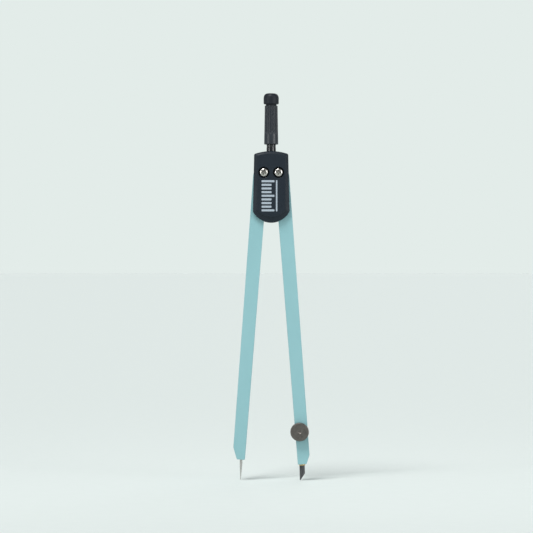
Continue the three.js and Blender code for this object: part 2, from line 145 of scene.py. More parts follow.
def slab(outline, front, back, edge=0.0, edge_steps=3):
    """An outline from y = front to y = back with edges rounded by edge."""
    if not edge:
        return loft([(outline, front), (outline, back)])
    angles = [math.pi / 2 * k / edge_steps for k in range(edge_steps + 1)]
    depth = edge if callable(edge) else (lambda point: edge)
    rounding = [(lambda p, a=a: depth(p) * (1 - math.sin(a)), 1 - math.cos(a)) for a in angles]
    rise = max(depth(p) for p in outline)
    near = [(inset(outline, cut), front + rise * along) for cut, along in rounding]
    far = [(ring, front + back - y) for ring, y in reversed(near)]
    return loft(near + far)


def turned(profile, sides=ROUND, radius_at=None):
    """A profile of (radius, height) turned about z. It ends on the axis or closes on itself."""
    bm = bmesh.new()
    closed = (Vector(profile[0]) - Vector(profile[-1])).length < 1e-6
    if closed:
        profile = profile[:-1]
    rows = []
    for radius, height in profile:
        if radius < 1e-6:
            rows.append([bm.verts.new((0, 0, height))])
            continue
        row = []
        for k in range(sides):
            angle = 2 * math.pi * k / sides
            r = radius_at(radius, height, angle) if radius_at else radius
            row.append(bm.verts.new((r * math.cos(angle), r * math.sin(angle), height)))
        rows.append(row)
    pairs = list(zip(rows, rows[1:])) + ([(rows[-1], rows[0])] if closed else [])
    for row, following in pairs:
        for i in range(sides):
            j = (i + 1) % sides
            corners = [row[i % len(row)], row[j % len(row)], following[j % len(following)],
                       following[i % len(following)]]
            corners = list(dict.fromkeys(corners))
            if len(corners) > 2:
                bm.faces.new(corners)
    bmesh.ops.recalc_face_normals(bm, faces=bm.faces)
    return bm


def along_y(bm, x=0.0, z=0.0):
    """Turns a z-axis piece so that its heights run along +y, on the axis through (x, z)."""
    return placed(bm, Matrix.Translation((x, 0, z)) @ Matrix.Rotation(-math.pi / 2, 4, "X"))


def placed(bm, matrix):
    bmesh.ops.transform(bm, matrix=matrix, verts=bm.verts)
    return bm


def rod(radius, front, back, x=0.0, z=0.0, sides=ROUND):
    return along_y(turned([(0, front), (radius, front), (radius, back), (0, back)], sides), x, z)


def block(low, high):
    bm = bmesh.new()
    bmesh.ops.create_cube(bm, size=1)
    size = Vector(high) - Vector(low)
    centre = (Vector(high) + Vector(low)) / 2
    return placed(bm, Matrix.Translation(centre) @ Matrix.Diagonal((*size, 1)))


def hull(points):
    bm = bmesh.new()
    for point in points:
        bm.verts.new(point)
    bmesh.ops.convex_hull(bm, input=bm.verts)
    return bm


def to_object(bm, name):
    mesh = bpy.data.meshes.new(name)
    bm.to_mesh(mesh)
    bm.free()
    obj = bpy.data.objects.new(name, mesh)
    bpy.context.scene.collection.objects.link(obj)
    return obj


def combined(bm, others, operation="DIFFERENCE"):
    """Exact boolean of a mesh with each of the others in turn."""
    base = to_object(bm, "base")
    tools = [to_object(other, "tool") for other in others]
    for tool in tools:
        modifier = base.modifiers.new("cut", "BOOLEAN")
        modifier.operation = operation
        modifier.solver = "EXACT"
        modifier.object = tool
    depsgraph = bpy.context.evaluated_depsgraph_get()
    result = bmesh.new()
    result.from_mesh(base.evaluated_get(depsgraph).to_mesh())
    for obj in [base, *tools]:
        mesh = obj.data
        bpy.data.objects.remove(obj)
        bpy.data.meshes.remove(mesh)
    return result


def finished(bm, name, node, body, material, smooth=32):
    """Turns a millimetre mesh into the named piece that stands for a frame node."""
    bmesh.ops.remove_doubles(bm, verts=bm.verts, dist=1e-4)
    bmesh.ops.dissolve_degenerate(bm, dist=1e-4, edges=bm.edges)
    placed(bm, Matrix.Diagonal((MM, MM, MM, 1)))
    piece = to_object(bm, name)
    piece.data.shade_smooth()
    piece.data.set_sharp_from_angle(angle=math.radians(smooth))
    weighted = piece.modifiers.new("flat faces", "WEIGHTED_NORMAL")
    weighted.keep_sharp = True
    weighted.weight = 100
    piece.data.materials.append(material)
    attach(piece, body)
    if node:
        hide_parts(node)
    return piece


# ------------------------------------------------------------------ materials
class Finish:
    """A Principled material with its procedural detail in row-frame metres."""

    def __init__(self, name, colour, roughness, metallic=0.0, **sockets):
        self.material = bpy.data.materials.new(name)
        self.material.use_nodes = True
        self.nodes = self.material.node_tree.nodes
        self.links = self.material.node_tree.links
        self.shader = self.nodes["Principled BSDF"]
        self.shader.inputs["Base Color"].default_value = (*colour, 1)
        self.shader.inputs["Roughness"].default_value = roughness
        self.shader.inputs["Metallic"].default_value = metallic
        for socket, value in sockets.items():
            self.shader.inputs[socket.replace("_", " ")].default_value = value
        self.place = self.nodes.new("ShaderNodeTexCoord").outputs["Object"]
        self.colour = colour
        self.normal = None

    def stretched(self, scale):
        mapping = self.nodes.new("ShaderNodeMapping")
        mapping.inputs["Scale"].default_value = scale
        self.links.new(self.place, mapping.inputs["Vector"])
        return mapping.outputs["Vector"]

    def noise(self, grain_mm, detail=3.0, stretch=(1, 1, 1), roughness=0.55):
        """Noise whose grains are about grain_mm across, longer along an axis with stretch over 1."""
        texture = self.nodes.new("ShaderNodeTexNoise")
        texture.inputs["Scale"].default_value = 1.0
        texture.inputs["Detail"].default_value = detail
        texture.inputs["Roughness"].default_value = roughness
        scale = [1 / (grain_mm * MM * s) for s in stretch]
        self.links.new(self.stretched(scale), texture.inputs["Vector"])
        return texture.outputs["Fac"]

    def radial(self, centre_mm, grain_mm):
        """Fine rings about the y axis through centre_mm, as a lathe leaves them."""
        offset = self.nodes.new("ShaderNodeVectorMath")
        offset.operation = "SUBTRACT"
        offset.inputs[1].default_value = Vector(centre_mm) * MM
        self.links.new(self.place, offset.inputs[0])
        flat = self.nodes.new("ShaderNodeVectorMath")
        flat.operation = "MULTIPLY"
        flat.inputs[1].default_value = (1, 0, 1)
        self.links.new(offset.outputs[0], flat.inputs[0])
        length = self.nodes.new("ShaderNodeVectorMath")
        length.operation = "LENGTH"
        self.links.new(flat.outputs[0], length.inputs[0])
        texture = self.nodes.new("ShaderNodeTexNoise")
        texture.noise_dimensions = "1D"
        texture.inputs["Scale"].default_value = 1 / (grain_mm * MM)
        texture.inputs["Detail"].default_value = 2
        self.links.new(length.outputs["Value"], texture.inputs["W"])
        return texture.outputs["Fac"]

    def ranged(self, factor, low, high, from_low=0.3, from_high=0.7):
        node = self.nodes.new("ShaderNodeMapRange")
        node.inputs["From Min"].default_value = from_low
        node.inputs["From Max"].default_value = from_high
        node.inputs["To Min"].default_value = low
        node.inputs["To Max"].default_value = high
        self.links.new(factor, node.inputs["Value"])
        return node.outputs["Result"]

    def roughness(self, factor, low, high):
        self.links.new(self.ranged(factor, low, high), self.shader.inputs["Roughness"])
        return self

    def tint(self, factor, other):
        mix = self.nodes.new("ShaderNodeMix")
        mix.data_type = "RGBA"
        mix.inputs["A"].default_value = (*self.colour, 1)
        mix.inputs["B"].default_value = (*other, 1)
        self.links.new(self.ranged(factor, 0, 1), mix.inputs["Factor"])
        self.links.new(mix.outputs["Result"], self.shader.inputs["Base Color"])
        return self

    def bump(self, factor, height_mm, strength=1.0):
        node = self.nodes.new("ShaderNodeBump")
        node.inputs["Strength"].default_value = strength
        node.inputs["Distance"].default_value = height_mm * MM
        self.links.new(factor, node.inputs["Height"])
        if self.normal:
            self.links.new(self.normal, node.inputs["Normal"])
        self.normal = node.outputs["Normal"]
        self.links.new(self.normal, self.shader.inputs["Normal"])
        return self


def mint_paint():
    """Satin powder paint: a faint orange peel, fine pigment grain and slight colour drift."""
    finish = Finish("mint_paint", (0.23, 0.435, 0.465), 0.4, Coat_Weight=0.12, Coat_Roughness=0.25)
    drift = finish.noise(14, detail=2, stretch=(1, 1, 2.5))
    finish.tint(drift, (0.25, 0.46, 0.49))
    finish.roughness(finish.noise(2.2, detail=4), 0.36, 0.5)
    finish.bump(finish.noise(0.7, detail=2), 0.012, 0.5)
    finish.bump(finish.noise(0.09, detail=2), 0.003, 0.4)
    return finish.material


def eroded_plastic(name, colour, grain_mm=0.16, height_mm=0.02):
    """Moulded black plastic from a spark-eroded tool, with a fine even grain."""
    finish = Finish(name, colour, 0.5, Specular_IOR_Level=0.3)
    lighter = tuple(value * 1.5 + 0.004 for value in colour)
    finish.tint(finish.noise(grain_mm * 1.3, detail=3), lighter)
    finish.roughness(finish.noise(3.5, detail=4), 0.42, 0.58)
    finish.bump(finish.noise(grain_mm, detail=3, roughness=0.65), height_mm, 0.6)
    return finish.material


def gloss_plastic():
    """Polished black plastic with the faint waviness of a moulding."""
    finish = Finish("black_gloss", (0.006, 0.008, 0.01), 0.12, Specular_IOR_Level=0.55)
    finish.roughness(finish.noise(1.5, detail=3), 0.09, 0.2)
    finish.bump(finish.noise(1.6, detail=1), 0.01, 0.3)
    return finish.material


def grip_plastic():
    """Satin black of the fluted sleeve, drawn lengthwise by its tool."""
    finish = Finish("grip_black", (0.014, 0.019, 0.026), 0.34, Specular_IOR_Level=0.5)
    finish.roughness(finish.noise(0.5, detail=3, stretch=(1, 1, 12)), 0.28, 0.44)
    finish.bump(finish.noise(0.12, detail=2, stretch=(1, 1, 20)), 0.004, 0.4)
    return finish.material


def nickel(name, centre, colour=(0.58, 0.56, 0.52), roughness=0.26):
    """Nickel plate over a turned piece: lathe rings, faint clouding and small dark specks."""
    finish = Finish(name, colour, roughness, 1.0)
    finish.tint(finish.noise(0.9, detail=4), tuple(value * 0.72 for value in colour))
    finish.roughness(finish.noise(0.35, detail=4), roughness - 0.08, roughness + 0.12)
    finish.bump(finish.radial(centre, 0.08), 0.006, 0.6)
    finish.bump(finish.noise(0.15, detail=3), 0.002, 0.4)
    return finish.material


def ground_steel():
    finish = Finish("ground_steel", (0.56, 0.55, 0.53), 0.22, 1.0)
    finish.roughness(finish.noise(0.2, detail=3, stretch=(4, 4, 1)), 0.14, 0.34)
    finish.tint(finish.noise(1.2, detail=3), (0.44, 0.42, 0.4))
    finish.bump(finish.noise(0.05, detail=2, stretch=(12, 12, 1)), 0.002, 0.5)
    return finish.material


def turned_brass():
    finish = Finish("turned_brass", (0.66, 0.5, 0.24), 0.3, 1.0)
    finish.roughness(finish.noise(0.25, detail=3, stretch=(4, 4, 1)), 0.2, 0.42)
    finish.tint(finish.noise(0.8, detail=4), (0.5, 0.36, 0.17))
    finish.bump(finish.noise(0.06, detail=2, stretch=(10, 10, 1)), 0.003, 0.5)
    return finish.material


def natural_nylon():
    finish = Finish("natural_nylon", (0.7, 0.68, 0.62), 0.5, Subsurface_Weight=0.2, Subsurface_Scale=0.0008)
    finish.tint(finish.noise(1.0, detail=3), (0.62, 0.6, 0.53))
    finish.bump(finish.noise(0.2, detail=2), 0.006, 0.5)
    return finish.material


def graphite():
    """Extruded lead: a dark sheen with fine lines along it and soft smudges."""
    finish = Finish("graphite", (0.05, 0.05, 0.054), 0.42, 0.55)
    finish.tint(finish.noise(0.5, detail=4, stretch=(1, 1, 3)), (0.1, 0.1, 0.105))
    finish.roughness(finish.noise(0.3, detail=4, stretch=(1, 1, 4)), 0.32, 0.56)
    finish.bump(finish.noise(0.06, detail=3, stretch=(1, 1, 14)), 0.005, 0.6)
    return finish.material


def pad_print():
    """Pale grey pad-printing ink, slightly thin in places."""
    finish = Finish("pad_print", (0.4, 0.46, 0.52), 0.55)
    finish.tint(finish.noise(0.25, detail=4), (0.29, 0.34, 0.39))
    finish.bump(finish.noise(0.12, detail=3), 0.004, 0.5)
    return finish.material


# ------------------------------------------------------------------ head
FRONT_LOW, FRONT_HIGH = span("front_cover")
CORNER_ROUND, CORNER_RISE = 0.7, 0.15
SEAT = -3.3  # where the pivot screws' heads sit
PANEL_FACE = FRONT_LOW.y + 0.04  # a hair inside the frame's box, so that the print stays in it too
PLATE_FACE = -4.2
INNER_FACE = -2.4
WALL_BOTTOM = 119.4
PIVOTS = {side: middle(f"{name}_pivot_screw") for name, side in (("left", LEFT), ("right", RIGHT))}
RIM = {"top_half": 6.4, "bottom_half": FRONT_HIGH.x, "top": FRONT_HIGH.z, "shoulder": 122.2, "corner": 100.6,
       "bottom": FRONT_LOW.z}
PANEL = {"top_half": 5.6, "bottom_half": 5.5, "top": 122.55, "shoulder": 121.65, "corner": 101.2,
         "bottom": 98.4}


def head_outline(o):
    """The head's outline in x and z: arched top, straight sides and a round bottom."""
    sagitta = o["corner"] - o["bottom"]
    radius = (o["bottom_half"] ** 2 + sagitta ** 2) / (2 * sagitta)
    centre = (0, o["bottom"] + radius)
    half_sweep = math.asin(o["bottom_half"] / radius)
    bottom = arc(centre, radius, -math.pi / 2 - half_sweep, -math.pi / 2 + half_sweep, 40)
    side_top = Vector((o["top_half"], o["shoulder"] - CORNER_ROUND))
    arch_end = (o["top_half"] - CORNER_ROUND, o["shoulder"] + CORNER_RISE)
    right = bezier(side_top, (o["top_half"], o["shoulder"]), arch_end, 8)
    crown_control = (0, 2 * o["top"] - o["shoulder"] - CORNER_RISE)
    crown = bezier(right[-1], crown_control, (-right[-1].x, right[-1].y), 28)
    left = [Vector((-p.x, p.y)) for p in reversed(right)]
    side = [Vector((o["bottom_half"], o["corner"])), side_top]
    steps = 24
    right_side = [side[0].lerp(side[1], k / steps) for k in range(1, steps)]
    left_side = [Vector((-p.x, p.y)) for p in reversed(right_side)]
    return bottom + right_side + right + crown[1:-1] + left + left_side


def cover_shell():
    """The front cover before its screw seats are cut, solid down to the wall between the legs."""
    rim, panel = head_outline(RIM), head_outline(PANEL)
    rings = [
        (inset(rim, 0.1), 0.0), (rim, -0.09), (rim, -3.35),
        (inset(rim, 0.05), -3.52), (inset(rim, 0.14), -3.64),
        (inset(panel, -0.16), PLATE_FACE + 0.04), (inset(panel, -0.07), PLATE_FACE),
        (panel, PLATE_FACE - 0.05),
        (inset(panel, 0.04), PANEL_FACE + 0.26), (inset(panel, 0.24), PANEL_FACE + 0.06),
        (inset(panel, 0.36), PANEL_FACE),
    ]
    shell = loft(rings)
    stem_low, stem_high = span("handle_stem")
    room = 0.06
    above, mouth = RIM["top"] + 1, RIM["top"] - 0.5
    neck = turned([(0, 118), (1.8, 118), (1.8, mouth), (2.0, above), (0, above)])
    return combined(shell, [
        block((-20, INNER_FACE, 90), (20, 1, WALL_BOTTOM)),
        block((stem_low.x - room, stem_low.y - room, WALL_BOTTOM - 1), (stem_high.x + room, 1, 121.75)),
        neck,
    ])


def counterbore(side):
    """The cutter of one screw seat, with a small chamfer at its mouth and a through hole."""
    mouth = PANEL_FACE - 0.5
    profile = [(0, mouth), (2.72, mouth), (2.1, PANEL_FACE + 0.12), (2.06, SEAT), (1.1, SEAT),
               (1.1, 0.5), (0, 0.5)]
    return along_y(turned(profile), PIVOTS[side].x, PIVOTS[side].z)


def hexagon(across_flats, low, high, chamfer=0.0):
    """A hexagonal prism about z, its outer corners turned off by chamfer."""
    radius = across_flats / math.sqrt(3)
    prism = turned([(0, low), (radius, low), (radius, high), (0, high)], 6)
    if not chamfer:
        return prism
    flat = across_flats / 2
    barrel = turned([(0, low), (flat - 0.05, low), (radius + 0.05, low + chamfer),
                     (radius + 0.05, high - chamfer), (flat - 0.05, high), (0, high)])
    return combined(prism, [barrel], "INTERSECT")


def nut_pocket(side):
    seat, mouth = 3.1, -PANEL_FACE
    room = 4.1
    pocket = hexagon(room, seat, mouth + 1)
    flare = room / math.sqrt(3)
    inner, outer = mouth - 0.15, mouth + 0.35
    mouth_bevel = turned([(0, inner), (flare, inner), (flare + 0.5, outer), (0, outer)], 6)
    hole = turned([(0, 0), (1.1, 0), (1.1, mouth), (0, mouth)])
    return [along_y(bm, PIVOTS[side].x, PIVOTS[side].z) for bm in (pocket, mouth_bevel, hole)]


def graduation_print(material):
    """A plain printed ladder of bars with a thin rule beside it, inked on the panel."""
    ink_front, ink_back = PANEL_FACE - 0.02, PANEL_FACE + 0.02
    pitch, count, top = 1.36, 9, 111.9
    bars = bmesh.new()
    pieces = []
    for k in range(count):
        reach = 1.2 if k % 4 == 0 else 0.1
        pieces.append(((-3.6, reach), (top - k * pitch - 0.38, top - k * pitch + 0.38)))
    pieces.append(((1.75, 2.3), (top - (count - 1) * pitch - 0.38, top + 0.38)))
    for (x0, x1), (z0, z1) in pieces:
        outline = fillet([(x0, z0), (x1, z0), (x1, z1), (x0, z1)], 0.2, closed=True)
        bar = slab(outline, ink_front, ink_back)
        mesh = bpy.data.meshes.new("bar")
        bar.to_mesh(mesh)
        bar.free()
        bars.from_mesh(mesh)
        bpy.data.meshes.remove(mesh)
    piece = finished(bars, "panel_print", None, "head", material)
    return piece


def pivot_screw(side, material):
    name = "left_pivot_screw" if side == LEFT else "right_pivot_screw"
    low, high = span(name)
    centre = PIVOTS[side]
    radius, shank = (high.x - low.x) / 2, 0.99
    crown, end = low.y, high.y
    crest = [(0, crown), (0.95, crown + 0.03), (1.4, crown + 0.2), (radius - 0.06, crown + 0.5),
             (radius, crown + 0.72), (radius, SEAT - 0.1), (radius - 0.1, SEAT), (shank, SEAT)]
    pitch, depth, thread_start = 0.4, 0.2, 2.9
    count = int((end - 0.25 - thread_start) / pitch * 8)
    turns = [(shank, thread_start + pitch / 8 * k) for k in range(count)]
    profile = crest + [(shank, 2.8)] + turns + [(shank - depth, end - 0.1), (shank - 0.3, end), (0, end)]

    def thread(r, h, angle):
        if r != shank or h < thread_start - 0.05:
            return r
        phase = (h / pitch - angle / (2 * math.pi)) % 1
        return r - depth * abs(2 * phase - 1)

    body = turned([Vector(p) for p in profile], radius_at=thread)
    wings = []
    length, width, cross_depth = 1.12, 0.24, 0.95
    signs = [(s, t) for s in (-1, 1) for t in (-1, 1)]
    for quarter in range(2):
        corners = [(s * length, t * width, crown - 0.1) for s, t in signs]
        corners += [(s * length * 0.35, t * width * 0.6, crown + cross_depth) for s, t in signs]
        wings.append(placed(hull(corners), Matrix.Rotation(quarter * math.pi / 2, 4, "Z")))
    wings.append(turned([(0, crown - 0.1), (0.5, crown - 0.1), (0.12, crown + 1.0), (0, crown + 1.0)], 24))
    cross_turn = Matrix.Rotation(0.35 if side == LEFT else 0.15, 4, "Z")
    cut = placed(combined(body, wings), cross_turn)
    return finished(along_y(cut, centre.x, centre.z), f"{name}_fine", name, "head", material)


def washer(name, inner, edge, body, material):
    low, high = span(name)
    centre, outer = (low + high) / 2, (high.x - low.x) / 2
    corners = [(inner, low.y), (outer, low.y), (outer, high.y), (inner, high.y)]
    ring = fillet(corners, edge, closed=True)
    finished(along_y(turned(ring + ring[:1]), centre.x, centre.z), f"{name}_fine", name, body, material)


def head():
    plastic = eroded_plastic("head_black", (0.0035, 0.0085, 0.015))
    front = combined(cover_shell(), [counterbore(side) for side in (LEFT, RIGHT)])
    finished(front, "front_cover_fine", "front_cover", "head", plastic)
    mirrored = placed(cover_shell(), Matrix.Rotation(math.pi, 4, "Z"))
    rear = combined(mirrored, [tool for side in (LEFT, RIGHT) for tool in nut_pocket(side)])
    finished(rear, "rear_cover_fine", "rear_cover", "head", plastic)
    graduation_print(pad_print())
    nylon = natural_nylon()
    for label, side in (("left", LEFT), ("right", RIGHT)):
        metal = nickel(f"{label}_screw_nickel", PIVOTS[side], roughness=0.2)
        pivot_screw(side, metal)
        name = f"{label}_pivot_nut"
        low, high = span(name)
        hole = [(0, 0), (1.03, 0), (1.03, high.y - 0.2), (1.3, high.y + 0.1), (0, high.y + 0.1)]
        nut = combined(hexagon(high.x - low.x, low.y, high.y, 0.28), [turned(hole)])
        finished(along_y(nut, PIVOTS[side].x, PIVOTS[side].z), f"{name}_fine", name, "head", metal)
        for face in ("front", "rear"):
            washer(f"{label}_{face}_washer", 1.1, 0.08, "head", nylon)


# ------------------------------------------------------------------ handle
def handle_stem():
    low, high = span("handle_stem")
    root_top, start = 121.7, 121.2
    foot = span("grip_sleeve")[0].z
    corners = [(low.x, low.z), (high.x, low.z), (high.x, root_top), (low.x, root_top)]
    root = slab(fillet(corners, 0.3, closed=True), low.y, high.y, 0.15)
    spindle = turned(fillet([(0, start), (1.75, start), (1.75, 124.4), (1.68, 124.9), (1.75, foot),
                             (1.45, foot), (1.45, high.z), (0, high.z)], 0.12))
    stem = combined(root, [spindle], "UNION")
    finished(stem, "handle_stem_fine", "handle_stem", "head", gloss_plastic())


def grip_sleeve():
    grip_low, grip_high = span("grip_sleeve")
    flutes, bore, rounding = 22, 1.5, 0.22
    bottom_radius, top_radius = (grip_high.x - grip_low.x) / 2, 2.42
    flute_bottom, flute_depth = 129.2, 0.26
    height = grip_high.z - grip_low.z
    steps = [grip_low.z + height * t for t in (0.0, 0.003, 0.01, 0.02)]
    steps += [grip_low.z + 0.5 + (height - 1.0) * k / 60 for k in range(61)]
    steps += [grip_high.z - height * t for t in (0.02, 0.01, 0.004, 0.0)]

    def outer_radius(z):
        t = (z - grip_low.z) / height
        radius = bottom_radius + (top_radius - bottom_radius) * t
        from_end = min(z - grip_low.z, grip_high.z - z)
        if from_end < rounding:
            radius -= rounding - math.sqrt(rounding ** 2 - (rounding - from_end) ** 2)
        return radius

    def fluted(r, z, angle):
        if r < bore + 0.3:
            return r
        fade = min(1, max(0, (z - flute_bottom) / 1.6)) * min(1, max(0, (grip_high.z - z) / 0.3))
        fade = fade * fade * (3 - 2 * fade)
        wave = (0.5 + 0.5 * math.cos(flutes * angle)) ** 1.6
        return r - flute_depth * fade * wave

    inside = [(bore, grip_high.z), (bore, grip_low.z)]
    profile = inside[1:] + [(outer_radius(z), z) for z in steps] + inside
    sleeve = turned(profile, flutes * 14, fluted)
    finished(sleeve, "grip_sleeve_fine", "grip_sleeve", "head", grip_plastic(), 60)


def grip_cap():
    cap_low, cap_high = span("grip_cap")
    radius = (cap_high.x - cap_low.x) / 2
    top, seat = cap_high.z, span("grip_sleeve")[1].z
    dome = bezier((radius, top - 2.0), (radius, top), (radius - 1.9, top), 16)
    under = seat + 0.5
    foot_edge = fillet([(2.0, seat), (2.0, under), (radius - 0.2, under), (radius, under + 0.25),
                        dome[0]], 0.1)
    plug = [Vector(p) for p in ((0, cap_low.z), (1.3, cap_low.z), (1.45, cap_low.z + 0.2), (1.45, seat))]
    profile = plug + foot_edge[:-1] + dome + [Vector((0, top))]
    cap_black = eroded_plastic("cap_black", (0.003, 0.0055, 0.01), 0.2, 0.012)
    finished(turned(profile), "grip_cap_fine", "grip_cap", "head", cap_black, 40)


# ------------------------------------------------------------------ legs
def leg_matrix(leg):
    """From a leg's own frame to the row frame, in millimetres."""
    side = leg["side"]
    joint = JOINTS["needle_leg_hinge" if side == LEFT else "lead_leg_hinge"]
    pivot = Vector(joint["pos_m"]) / MM
    return Matrix.Translation(pivot) @ Matrix.Rotation(-side * LEG_ANGLE, 4, "Y")


def point_matrix(leg):
    """From the upright frame of a needle or lead, z = 0 at the leg's end, to the row frame."""
    side = leg["side"]
    end = Matrix.Translation((side * leg["point_x"], 0, -leg["length"]))
    return leg_matrix(leg) @ end @ Matrix.Rotation(side * POINT_TILT, 4, "Y")


def tooth_flank(centre, way):
    """Points of one involute flank from root to tip, way -1 before the tooth's centre or 1 after."""
    base = PITCH_RADIUS * math.cos(PRESSURE_ANGLE)

    def involute(angle):
        return math.tan(angle) - angle

    module = 2 * PITCH_RADIUS / TEETH
    half_at_pitch = (math.pi * module - BACKLASH) / 4 / PITCH_RADIUS
    points = []
    steps = 8
    for k in range(steps + 1):
        r = ROOT_RADIUS + (TIP_RADIUS - ROOT_RADIUS) * k / steps
        spread = half_at_pitch + involute(PRESSURE_ANGLE) - involute(math.acos(min(1, base / max(r, base))))
        points.append(Vector((r * math.cos(centre + way * spread), r * math.sin(centre + way * spread))))
    return points


def leg_outline(leg):
    """The leg's outline with the toothed sector, for the leg on the right; +x is outwards."""
    length = leg["length"]
    across, along = leg["chamfer"]
    inner = [Vector((INNER_EDGE + TAPER * s, -s)) for s in (length, 1.66)]
    mesh = math.pi - LEG_ANGLE
    pitch = 2 * math.pi / TEETH
    centres = [mesh + (k + leg["phase"]) * pitch for k in range(-2, 2)]
    centres = sorted((c for c in centres if math.radians(100) < c < math.radians(215)), reverse=True)
    outline = list(inner)
    angle = math.atan2(inner[-1].y, inner[-1].x) % (2 * math.pi)
    for centre in centres:
        first = tooth_flank(centre, 1)
        last = tooth_flank(centre, -1)[::-1]
        start = math.atan2(first[0].y, first[0].x) % (2 * math.pi)
        outline += arc((0, 0), ROOT_RADIUS, angle, start, 6)[1:-1] + first + last
        angle = math.atan2(last[-1].y, last[-1].x) % (2 * math.pi)
    shoulder = math.radians(97)
    outline += arc((0, 0), ROOT_RADIUS, angle, shoulder, 6)[1:]
    outline += arc((0, 0), TIP_RADIUS, shoulder, math.radians(20), 20)
    edge_start = 2.0
    outer_top = Vector((OUTER_EDGE - TAPER * edge_start, -edge_start))
    outline += bezier(outline[-1], (OUTER_EDGE, 0.4), outer_top, 12)[1:]
    outer_end = OUTER_EDGE - TAPER * length
    bend = Vector((OUTER_EDGE - TAPER * (length - along), -(length - along)))
    corner = Vector((outer_end - across, -length))
    tail = fillet([outline[-1], bend, corner, inner[0], inner[1]], [0, 0.6, 0.5, 0.5, 0])
    outline = outline[1:-1] + tail[:-1]
    return outline


def leg_blank(leg):
    """The stamped bar with softened edges; the teeth and hub keep theirs nearly sharp."""
    outline = [Vector((leg["side"] * p.x, p.y)) for p in leg_outline(leg)]

    def edge(point):
        return 0.05 + 0.17 * min(1, max(0, (-point.y - 4) / 4))

    return slab(outline, -LEG_HALF_THICKNESS, LEG_HALF_THICKNESS, edge)


def needle_leg(paint, metal):
    leg = NEEDLE_LEG
    into_leg = leg_matrix(leg).inverted() @ point_matrix(leg)
    needle_bore = placed(turned([(0, -2), (0.85, -2), (0.56, 0.3), (0.56, 8.3), (0, 8.3)], 64), into_leg)
    grub = middle("needle_grub_screw")
    place = leg_matrix(leg).inverted() @ Vector((grub.x, 0, grub.z))
    grub_profile = [(0, 0), (1.06, 0), (1.06, 1.9), (1.3, 2.2), (0, 2.2)]
    grub_hole = along_y(turned(grub_profile, 64), place.x, place.z)
    bar = combined(leg_blank(leg), [rod(1.05, -5, 5), needle_bore, grub_hole])
    finished(placed(bar, leg_matrix(leg)), "needle_leg_fine", "needle_leg", "needle_leg", paint)

    radius, waist = 0.5, 0.27
    tip = -tip_reach(leg, span("needle")[0].z)
    profile = [(0, tip), (0.03, tip + 0.06), (0.13, tip + 0.7), (waist - 0.07, tip + 1.5),
               (waist, tip + 2.6), (0.4, tip + 4.6), (radius, tip + 6.6), (radius, 7.7), (0.3, 8.0), (0, 8.0)]
    finished(placed(turned(fillet(profile, 0.1)), point_matrix(leg)), "needle_fine", "needle", "needle_leg",
             ground_steel(), 40)

    low, high = span("needle_grub_screw")
    size = (high.x - low.x) / 2
    body = turned(fillet([(0, low.y), (size - 0.2, low.y), (size, low.y + 0.2), (size, high.y - 0.15),
                          (size - 0.15, high.y), (0, high.y)], 0.05), 64)
    slot = placed(block((-3, -0.2, high.y - 0.45), (3, 0.2, high.y + 1)), Matrix.Rotation(0.6, 4, "Z"))
    screw = along_y(combined(body, [slot]), grub.x, grub.z)
    finished(screw, "needle_grub_screw_fine", "needle_grub_screw", "needle_leg", metal)


def tip_reach(leg, tip_z):
    """How far below the leg's end, along the point's axis, the height tip_z lies."""
    matrix = point_matrix(leg)
    start = matrix @ Vector((0, 0, 0))
    step = matrix.to_3x3() @ Vector((0, 0, -1))
    return (tip_z - start.z) / step.z


def lead_leg(paint):
    leg = LEAD_LEG
    into_leg = leg_matrix(leg).inverted() @ point_matrix(leg)
    collet_bore = placed(turned([(0, -2), (1.7, -2), (1.31, 0.3), (1.31, 10.2), (0, 10.2)], 64), into_leg)
    slit_top = -(leg["length"] - 18.0)
    slit = block((-20, -0.2, -leg["length"] - 5), (20, 0.2, slit_top))
    relief = placed(turned([(0, -20), (0.5, -20), (0.5, 20), (0, 20)], 48),
                    Matrix.Translation((0, 0, slit_top)) @ Matrix.Rotation(math.pi / 2, 4, "Y"))
    thumb = middle("thumb_screw")
    place = leg_matrix(leg).inverted() @ Vector((thumb.x, 0, thumb.z))
    hole_profile = [(0, -5), (1.31, -5), (1.31, 1.85), (1.5, 2.15), (0, 2.15)]
    hole = along_y(turned(hole_profile, 64), place.x, place.z)
    bar = combined(leg_blank(leg), [rod(1.05, -5, 5), collet_bore, slit, relief, hole])
    finished(placed(bar, leg_matrix(leg)), "lead_leg_fine", "lead_leg", "lead_leg", paint)


def collet(material):
    outer, inner, inside, outside = 1.25, 1.05, 10.0, 0.45
    wall = fillet([(inner, -outside), (outer - 0.04, -outside), (outer, -outside + 0.1),
                   (outer, inside), (inner, inside)], 0.05, closed=True)
    tube = combined(turned(wall + wall[:1]), [block((0, -0.2, -5), (4, 0.2, inside + 5))])
    finished(placed(tube, point_matrix(LEAD_LEG)), "lead_collet_fine", "lead_collet", "lead_leg", material)


def lead(material):
    radius, bevel = 1.0, 2.6
    lean = LEG_ANGLE - POINT_TILT
    reach = tip_reach(LEAD_LEG, span("lead")[0].z) - radius * math.tan(lean)
    stick = turned(fillet([(0, -reach), (radius, -reach), (radius, 9.6), (0, 9.6)], 0.12))
    wedge = [(-radius + 0.15, -reach - 0.1), (radius + 1, -reach - 0.1), (radius + 1, -reach + bevel + 1),
             (radius + 0.05, -reach + bevel)]
    ground = combined(stick, [slab([Vector(p) for p in wedge], -3, 3)])
    finished(placed(ground, point_matrix(LEAD_LEG)), "lead_fine", "lead", "lead", material)


